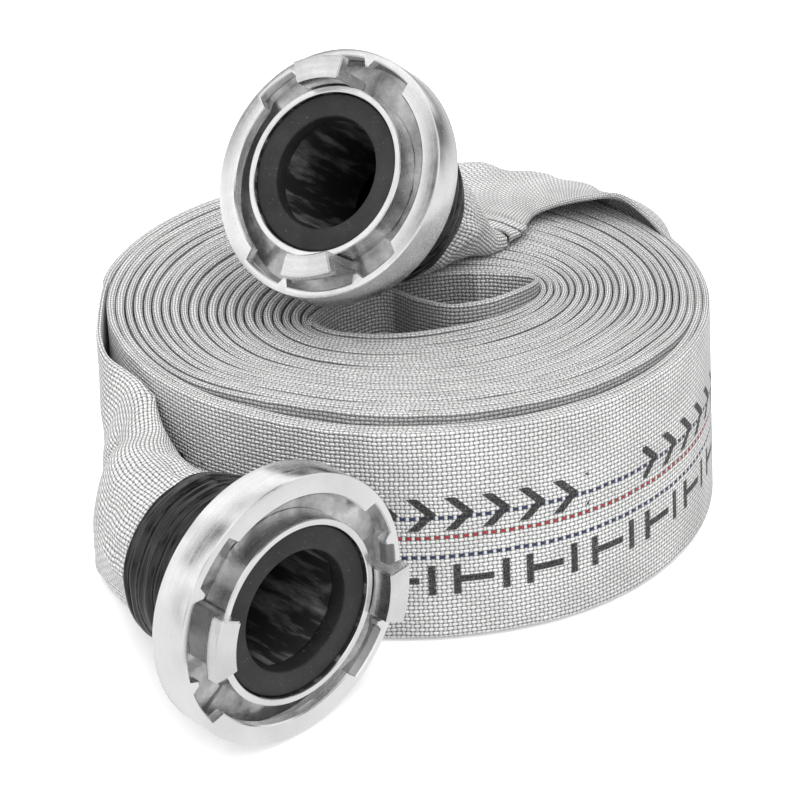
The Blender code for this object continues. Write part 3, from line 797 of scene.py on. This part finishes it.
def lug_ring(suffix, finish):
    name = f"lug_ring_body_{suffix}"
    angles = np.arange(RING_STEPS) * 360 / RING_STEPS
    profile, cast = lug_ring_profile(angles)
    mesh = ring_mesh(name, roughened(turn_out(profile, angles), cast), closed=True)
    mesh.attributes.new("cast", "FLOAT", "POINT").data.foreach_set("value", cast.ravel())
    lug = lug_mesh()
    shape = bmesh.new()
    shape.from_mesh(mesh)
    shape.from_mesh(lug)
    lug.transform(Matrix.Rotation(math.pi, 4, "Z"))
    shape.from_mesh(lug)
    shape.to_mesh(mesh)
    shape.free()
    bpy.data.meshes.remove(lug)
    mesh.set_sharp_from_angle(angle=math.radians(32))
    obj = add_object(name, mesh, finish)
    set_down(obj, suffix)
    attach(obj, f"lug_ring_{suffix}")
    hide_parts(f"lug_ring_{suffix}")


def tail(suffix, metal, lining):
    """The tail piece: a turned collar, a grooved journal for the lug ring and a plain shank. Its bore and
    its seat are black."""
    profile = [
        (COLLAR_R - 0.4 * MM, COLLAR_FRONT), (COLLAR_R, COLLAR_FRONT - 0.4 * MM), (COLLAR_R, COLLAR_BACK),
        (JOURNAL_R, COLLAR_BACK), (JOURNAL_R, GROOVE[0]), (GROOVE_R, GROOVE[0]), (GROOVE_R, GROOVE[1]),
        (JOURNAL_R, GROOVE[1]), (JOURNAL_R, JOURNAL_BACK), (SHANK_R, JOURNAL_BACK), (SHANK_R, TAIL_END),
        (TAIL_BORE, TAIL_END), (TAIL_BORE, SEAT_FLOOR), (SEAT_R, SEAT_FLOOR),
        (SEAT_R, COLLAR_FRONT - 0.3 * MM), (SEAT_R + 0.3 * MM, COLLAR_FRONT),
    ]
    first_black, last_black = profile.index((SHANK_R, TAIL_END)), profile.index((SEAT_R, SEAT_FLOOR))
    obj = turned(f"tail_piece_{suffix}", profile, metal, lining)
    for index, face in enumerate(obj.data.polygons):
        face.material_index = int(first_black <= index % len(profile) <= last_black)
    place_on(obj, suffix, "coupling_tail")


def place_on(obj, suffix, node):
    set_down(obj, suffix)
    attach(obj, f"hose_end_{suffix}")
    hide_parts(f"{node}_{suffix}")


def seal(suffix, finish):
    outer, inner = SEAT_R - 0.25 * MM, TAIL_BORE - 0.3 * MM
    corners = [(outer, 0.7 * MM), (outer, SEAL_BACK), (inner, SEAL_BACK), (inner, 0.5 * MM)]
    profile = rounded(corners, 1.0 * MM, 5)
    place_on(turned(f"seal_{suffix}", profile, finish), suffix, "seal_ring")


TAPE_ENDS = (-20.4 * MM, -57.0 * MM)
TAPE_STEPS = 150
TAPE_TURN = 7.0 * MM
TAPE_AROUND = 144
TAPE_INSIDE = 28.45 * MM
TAPE_EDGE = 0.55 * MM
TAPE_PUCKER = 0.8 * MM
# The tape's radius near its ends and between them
TAPE_HUG, TAPE_FULL = 28.7 * MM, 31.9 * MM
# The waves that the binding wire makes in the tape: height and pitch
WIRE_WAVE = (0.35 * MM, 4.6 * MM)
# The bound fabric bunches on the side that faces this way, by this much in mm
BUNCHED = {"a": ((-1.0, 0.0, 0.0), 0.0), "b": ((1.0, 0.0, 0.1), 3.6)}


def tape_ring(radius, angle, height):
    return np.stack((radius * np.sin(angle), radius * np.cos(angle), height + 0 * angle), -1)


def tape(suffix, seed, finish):
    """Overlapping turns of tape over the bound hose: each turn's edge stands a little proud of the last."""
    heights = np.linspace(*TAPE_ENDS, TAPE_STEPS)
    turns = np.arange(TAPE_AROUND) / TAPE_AROUND
    angle = turns * 2 * math.pi
    side, bunch = BUNCHED[suffix]
    side = coupling_matrix(suffix).inverted().to_3x3() @ Vector(side)
    facing = np.cos(angle - math.atan2(side.x, side.y))
    near = np.minimum(heights[0] - heights, heights - heights[-1])
    barrel = TAPE_HUG + (TAPE_FULL - TAPE_HUG) * ease(near, -2 * MM, 6 * MM)
    rings = np.zeros((len(heights) * 2, TAPE_AROUND, 3))
    for s, height in enumerate(heights):
        wound = (height / TAPE_TURN + turns + 0.12 * wander(turns * 3, 1.0, seed)) % 1.0
        edge = TAPE_EDGE * wound * ease(wound, 1.0, 0.97)
        level = height * 160 + seed
        puckers = [noise.noise(Vector((math.cos(t) * 2.2, math.sin(t) * 2.2, level))) for t in angle]
        bound = WIRE_WAVE[0] * math.sin(height / WIRE_WAVE[1] * 2 * math.pi)
        radius = barrel[s] + edge + np.array(puckers) * TAPE_PUCKER + bound
        radius += bunch * MM * ease(facing, 0.2, 1.0) * ease(near[s], 4 * MM, 16 * MM)
        rings[s] = tape_ring(radius, angle, height)
        rings[-1 - s] = tape_ring(TAPE_INSIDE, angle, height)
    name = f"tape_wrap_{suffix}"
    mesh = ring_mesh(name, rings, closed=True)
    mesh.set_sharp_from_angle(angle=math.radians(40))
    place_on(add_object(name, mesh, finish), suffix, "binding_tape")


# Node materials


class Graph:
    """A node material or world under construction, with short calls for its nodes."""

    def __init__(self, name, world=None):
        self.material = world or bpy.data.materials.new(name)
        self.material.use_nodes = True
        self.tree = self.material.node_tree
        self.shader = self.tree.nodes["Background" if world else "Principled BSDF"]

    def feed(self, socket, value):
        if isinstance(value, bpy.types.NodeSocket):
            self.tree.links.new(value, socket)
        else:
            socket.default_value = value

    def node(self, kind, inputs=(), output=0, **settings):
        made = self.tree.nodes.new("ShaderNode" + kind)
        for key, value in settings.items():
            setattr(made, key, value)
        for key, value in dict(inputs).items():
            self.feed(made.inputs[key], value)
        return made.outputs[output]

    def math(self, operation, *values):
        return self.node("Math", enumerate(values), operation=operation)

    def times(self, first, second):
        return self.math("MULTIPLY", first, second)

    def plus(self, first, second):
        return self.math("ADD", first, second)

    def minus(self, first, second):
        return self.math("SUBTRACT", first, second)

    def scale(self, value, low, high, to_low=0.0, to_high=1.0):
        inputs = {"Value": value, "From Min": low, "From Max": high, "To Min": to_low, "To Max": to_high}
        return self.node("MapRange", inputs)

    def mix(self, factor, first, second):
        made = self.tree.nodes.new("ShaderNodeMix")
        made.data_type = "RGBA"
        for index, value in ((0, factor), (6, first), (7, second)):
            self.feed(made.inputs[index], value)
        return made.outputs[2]

    def noise(self, vector, scale, detail=2.0, roughness=0.5):
        inputs = {"Vector": vector, "Scale": scale, "Detail": detail, "Roughness": roughness}
        return self.node("TexNoise", inputs)

    def bump(self, height, distance, strength=1.0):
        inputs = {"Height": height, "Distance": distance, "Strength": strength}
        return self.node("Bump", inputs)

    def local_place(self):
        """Where each point was before set_down moved it."""
        return self.node("Attribute", output=1, attribute_name="local")

    def split(self, vector):
        made = self.tree.nodes.new("ShaderNodeSeparateXYZ")
        self.feed(made.inputs[0], vector)
        return made.outputs

    def stretch(self, vector, scales):
        return self.node("Mapping", {"Vector": vector, "Scale": scales})

    def finish(self, **inputs):
        for key, value in inputs.items():
            self.feed(self.shader.inputs[key.replace("_", " ")], value)
        return self.material


def grey(value):
    return (value, value, value, 1.0)


DULL_WHITE = (0.72, 0.72, 0.715, 1)
CLEAN_WHITE = (0.92, 0.92, 0.915, 1)
RED = (0.34, 0.03, 0.035, 1)
BLUE = (0.02, 0.035, 0.10, 1)
INK = grey(0.012)
# The dyed warp threads, counted from the outer face's middle
STRIPES = ((0, RED), (-5, BLUE), (5, BLUE))


def band_mask(graph, value, middle, half, soft):
    """1 where value is within half of the middle, with a soft edge."""
    away = graph.math("ABSOLUTE", graph.minus(value, middle))
    return graph.scale(away, half + soft, half - soft)


def weave_material(name, printed):
    """A coarse plain weave. UVs are metres along and round the hose, with the outer face's middle at 0."""
    graph = Graph(name)
    uv = graph.node("UVMap", output=0, uv_map="weave")
    waver = graph.times(graph.minus(graph.noise(uv, 90.0, 1.0), 0.5), 0.0011)
    x, y, _ = graph.split(uv)
    u = graph.math("DIVIDE", graph.plus(x, waver), WEFT_PITCH)
    v = graph.plus(graph.math("DIVIDE", graph.plus(y, waver), WARP_PITCH), 0.5)
    sin_u = graph.math("SINE", graph.times(u, math.pi))
    sin_v = graph.math("SINE", graph.times(v, math.pi))
    over = graph.times(graph.times(sin_u, sin_v), 0.58)
    warp_body = graph.math("POWER", graph.math("ABSOLUTE", sin_v), 0.8)
    weft_body = graph.math("POWER", graph.math("ABSOLUTE", sin_u), 0.8)
    warp = graph.times(warp_body, graph.plus(0.50, over))
    weft = graph.times(weft_body, graph.minus(0.36, over))
    height = graph.math("SMOOTH_MAX", warp, weft, 0.05)
    warp_up = graph.scale(graph.minus(warp, weft), -0.03, 0.03)

    column = graph.math("FLOOR", v)
    fibres_u = graph.noise(graph.stretch(uv, (500.0, 9000.0, 1.0)), 1.0, 2.0)
    fibres_v = graph.noise(graph.stretch(uv, (9000.0, 500.0, 1.0)), 1.0, 2.0)
    fibres = graph.mix(warp_up, fibres_v, fibres_u)
    dirt = graph.noise(uv, 45.0, 4.0, 0.6)
    light = graph.mix(graph.scale(dirt, 0.35, 0.7), DULL_WHITE, CLEAN_WHITE)
    light = graph.mix(graph.scale(fibres, 0.3, 0.75, 0.0, 0.22), light, grey(0.42))
    light = graph.mix(graph.times(graph.minus(1.0, warp_up), 0.35), light, grey(0.40))
    for thread, dye in STRIPES:
        dyed = graph.times(graph.math("COMPARE", column, thread, 0.1), warp_up)
        light = graph.mix(dyed, light, dye)
    if printed:
        light = graph.mix(print_mask(graph, x, y, fibres), light, INK)
    # Painted shade: where the thread height is low, in the hollows between threads, the colour goes to near
    # black
    deep = graph.scale(height, 0.13, 0.60)
    colour = graph.mix(deep, grey(0.045), light)
    # Painted shade: faces that lie against another winding are darkened towards near black
    between = graph.node("Attribute", output=2, attribute_name="between")
    colour = graph.mix(graph.times(between, 0.45), colour, grey(0.03))
    relief = graph.plus(height, graph.times(fibres, 0.10))
    normal = graph.bump(relief, 0.75 * MM)
    return graph.finish(Base_Color=colour, Roughness=0.62, Normal=normal, Specular_IOR_Level=0.35,
                        Sheen_Weight=0.05, Sheen_Roughness=0.5)


def print_mask(graph, x, y, wear):
    """Generic stencil marks on the outer face: a row of chevrons and a row of bars between posts."""
    row = graph.math("ABSOLUTE", graph.minus(y, CHEVRON_ROW))
    cell = graph.math("FLOORED_MODULO", graph.plus(x, row), CHEVRON_PITCH)
    group = graph.math("FLOORED_MODULO", x, CHEVRON_PITCH * CHEVRON_PLACES)
    stroke = band_mask(graph, cell, 7.0 * MM, 2.1 * MM, MARK_SOFT)
    chevron = graph.times(stroke, graph.scale(row, 6.9 * MM, 6.5 * MM))
    chevron = graph.times(chevron, graph.math("LESS_THAN", group, CHEVRON_PITCH * CHEVRONS))
    other = graph.math("ABSOLUTE", graph.minus(y, BAR_ROW))
    cell = graph.math("FLOORED_MODULO", x, BAR_PITCH)
    stroke = band_mask(graph, cell, 9 * MM, 6.5 * MM, MARK_SOFT)
    bar = graph.times(stroke, graph.scale(other, 1.6 * MM, 1.3 * MM))
    posts = [band_mask(graph, cell, middle, 1.4 * MM, MARK_SOFT) for middle in (2.0 * MM, 20.0 * MM)]
    post = graph.math("MAXIMUM", *posts)
    bar = graph.math("MAXIMUM", bar, graph.times(post, graph.scale(other, 6.5 * MM, 6.1 * MM)))
    marks = graph.math("MAXIMUM", chevron, bar)
    return graph.times(marks, graph.scale(wear, 0.72, 0.6))


def turned_metal(name, cast):
    """Bright turned aluminium with fine lathe rings. A cast piece is rough and mottled where its cast
    attribute is 1."""
    graph = Graph(name)
    place = graph.local_place()
    x, y, z = graph.split(place)
    radius = graph.math("SQRT", graph.plus(graph.times(x, x), graph.times(y, y)))
    lathe = graph.node("CombineXYZ", {"X": radius, "Y": z, "Z": 0.0})
    rings = graph.noise(graph.stretch(lathe, (5200.0, 5200.0, 1.0)), 1.0, 3.0, 0.65)
    broad = graph.noise(graph.stretch(lathe, (700.0, 700.0, 1.0)), 1.0, 2.0)
    scuffs = graph.noise(place, 260.0, 4.0, 0.7)
    smears = graph.noise(place, 38.0, 3.0)
    scuffed = graph.scale(scuffs, 0.3, 0.8, 0.16, 0.30)
    shine = graph.plus(scuffed, graph.scale(broad, 0.3, 0.7, -0.05, 0.08))
    bright = graph.mix(graph.scale(smears, 0.35, 0.7), grey(0.93), grey(0.80))
    relief = graph.plus(graph.times(rings, 0.7), graph.times(scuffs, 0.3))
    smooth = graph.bump(relief, 0.035 * MM, 0.8)
    if not cast:
        return graph.finish(Base_Color=bright, Metallic=1.0, Roughness=shine, Normal=smooth)
    share = graph.node("Attribute", output=2, attribute_name="cast")
    grain = graph.noise(place, 900.0, 4.0, 0.7)
    lumps = graph.noise(place, 150.0, 3.0, 0.6)
    stain = graph.scale(graph.noise(place, 70.0, 4.0, 0.65), 0.35, 0.72)
    dull = graph.mix(stain, grey(0.82), grey(0.32))
    rough = graph.bump(graph.plus(lumps, graph.times(grain, 0.35)), 0.5 * MM, 0.8)
    normal = graph.node("Mix", data_type="VECTOR")
    mixer = normal.node
    graph.feed(mixer.inputs[0], share)
    graph.feed(mixer.inputs[4], smooth)
    graph.feed(mixer.inputs[5], rough)
    colour = graph.mix(share, bright, dull)
    gloss = graph.plus(shine, graph.times(share, 0.16))
    return graph.finish(Base_Color=colour, Metallic=1.0, Roughness=gloss, Normal=mixer.outputs[1])


def rubber_material(name, tone, gloss):
    """Dusty black rubber. It is mottled on a mesh that set_down has moved, and even on any other."""
    graph = Graph(name)
    place = graph.local_place()
    bloom = graph.noise(place, 55.0, 4.0, 0.6)
    dust = graph.scale(graph.noise(place, 1400.0, 1.0), 0.70, 0.78)
    colour = graph.mix(graph.scale(bloom, 0.35, 0.75), grey(tone * 0.6), grey(tone * 1.5))
    colour = graph.mix(graph.times(dust, 0.35), colour, grey(0.30))
    pores = graph.noise(place, 2400.0, 2.0)
    return graph.finish(Base_Color=colour, Roughness=gloss, Normal=graph.bump(pores, 0.04 * MM, 0.6))


def bore_material(name):
    """Black lined bore with rubbed streaks along it."""
    graph = Graph(name)
    place = graph.local_place()
    streaks = graph.noise(graph.stretch(place, (150.0, 150.0, 26.0)), 1.0, 5.0, 0.7)
    rubs = graph.scale(streaks, 0.50, 0.72)
    colour = graph.mix(rubs, grey(0.022), grey(0.22))
    return graph.finish(Base_Color=colour, Roughness=graph.scale(streaks, 0.3, 0.8, 0.25, 0.6),
                        Normal=graph.bump(streaks, 0.25 * MM, 0.5))


def tape_material(name):
    """Glossy black tape, pulled into fine streaks round the hose."""
    graph = Graph(name)
    place = graph.local_place()
    x, y, z = graph.split(place)
    turn = graph.math("ARCTAN2", y, x)
    slanted = graph.plus(z, graph.times(turn, 1.1 * MM))
    flat = graph.node("CombineXYZ", {"X": turn, "Y": slanted, "Z": 0.0})
    streaks = graph.noise(graph.stretch(flat, (2.2, 900.0, 1.0)), 1.0, 4.0, 0.65)
    smears = graph.noise(graph.stretch(flat, (5.0, 160.0, 1.0)), 1.0, 3.0)
    gloss = graph.scale(smears, 0.35, 0.7, 0.08, 0.26)
    colour = graph.mix(graph.scale(streaks, 0.45, 0.75), grey(0.005), grey(0.018))
    return graph.finish(Base_Color=colour, Roughness=gloss, Specular_IOR_Level=0.5,
                        Normal=graph.bump(streaks, 0.12 * MM, 0.6))


def steel_material(name):
    """Drawn steel wire."""
    graph = Graph(name)
    drawn = graph.noise(graph.node("TexCoord", output=3), 1500.0, 3.0)
    colour = graph.mix(drawn, grey(0.35), grey(0.60))
    return graph.finish(Base_Color=colour, Metallic=1.0, Roughness=graph.scale(drawn, 0.3, 0.7, 0.25, 0.45))


# Light, floor and camera


FLOOR_HALF = 4.0
FLOOR_LEVEL = -0.5 * MM
CAMERA_PLACE = (0, -0.7297, 0.4440)
CAMERA_TILT = math.radians(61.15)
CAMERA_LENS, CAMERA_SENSOR = 90, 36
CAMERA_SHIFT = (-0.0052, -0.0264)
# Light from the front and back, and from the sides
WORLD_LIGHT = (0.90, 0.50)
FLOOR_SHINE = 0.85
# Name, place, power and size of each lamp
LAMPS = (("key", (0.0, -0.3, 1.2), 25, 1.8), ("front", (-0.1, -1.2, 0.8), 1.0, 1.0))


def stage():
    """A plain pale floor, the camera and the light."""
    mesh = bpy.data.meshes.new("floor")
    signs = ((-1, -1), (1, -1), (1, 1), (-1, 1))
    corners = [(x * FLOOR_HALF, y * FLOOR_HALF, FLOOR_LEVEL) for x, y in signs]
    mesh.from_pydata(corners, [], [(0, 1, 2, 3)])
    paint = Graph("floor_white").finish(Base_Color=grey(0.93), Roughness=0.9, Emission_Color=grey(1.0),
                                        Emission_Strength=0.22)
    floor = add_object("floor", mesh, paint)
    floor.visible_glossy = False
    camera = bpy.data.cameras.new("camera")
    camera.lens, camera.sensor_width = CAMERA_LENS, CAMERA_SENSOR
    camera.shift_x, camera.shift_y = CAMERA_SHIFT
    view = add_object("camera", camera)
    view.location = Vector(ROLL_PLACE) + Vector(CAMERA_PLACE)
    view.rotation_euler = (CAMERA_TILT, 0, 0)
    bpy.context.scene.camera = view
    studio_light()
    bpy.context.scene.view_settings.view_transform = "Standard"


def studio_light():
    """Soft light from all round, less from the sides, and two soft lamps. The metal sees bright and dark
    patches above it and an even pale floor below."""
    graph = Graph("studio", bpy.data.worlds.new("studio"))
    bpy.context.scene.world = graph.material
    way = graph.node("TexCoord", output=0)
    x, _, z = graph.split(way)
    sideways = graph.times(x, x)
    even = graph.scale(sideways, 0.0, 1.0, *WORLD_LIGHT)
    patches = graph.scale(graph.noise(way, 1.9, 1.0), 0.39, 0.55, 0.10, 1.1)
    below = graph.scale(z, 0.05, -0.20)
    glossy = graph.mix(below, patches, grey(FLOOR_SHINE))
    ray = graph.tree.nodes.new("ShaderNodeLightPath").outputs
    shown = graph.mix(ray["Is Glossy Ray"], even, glossy)
    shown = graph.mix(ray["Is Camera Ray"], shown, grey(1.0))
    graph.feed(graph.shader.inputs["Color"], shown)
    for name, place, power, size in LAMPS:
        lamp = bpy.data.lights.new(name, "AREA")
        lamp.energy, lamp.size = power, size
        made = add_object(name, lamp)
        made.location = place
        made.visible_glossy = False
        made.rotation_euler = (-Vector(place)).to_track_quat("-Z", "Y").to_euler()


# Everything


placed = WINDING_RINGS + ROLL_PLACE
windings = ring_mesh("hose_windings", placed, WINDING_LENGTHS, around_lengths(), caps=True)
# The between attribute marks where the weave paints shade between windings
windings.attributes.new("between", "FLOAT", "POINT").data.foreach_set("value", painted_shade_between_windings().ravel())
weave = weave_material("printed_weave", True)
metal = turned_metal("turned_aluminium", False)
cast_metal = turned_metal("cast_aluminium", True)
black_bore = bore_material("bore")
charcoal = rubber_material("seal_rubber", 0.016, 0.62)
black_tape = tape_material("tape")
steel = steel_material("steel")
roll = add_object("hose_windings", windings, weave)
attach(roll, "roll")
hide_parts("hose_jacket", "hose_liner")
for suffix, seed in (("a", 3), ("b", 8)):
    jacket = loose_end(f"hose_end_{suffix}", suffix, *JACKET_SKINS, weave)
    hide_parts(f"hose_jacket_end_{suffix}")
    liner = loose_end(f"hose_lining_{suffix}", suffix, *LINING_SKINS, charcoal)
    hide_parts(f"hose_liner_end_{suffix}")
    lug_ring(suffix, cast_metal)
    tail(suffix, metal, black_bore)
    seal(suffix, charcoal)
    tape(suffix, seed, black_tape)
    for wire in (f"snap_ring_{suffix}", f"binding_wire_{suffix}"):
        for place in bpy.data.objects[wire].material_slots:
            place.material = steel

stage()
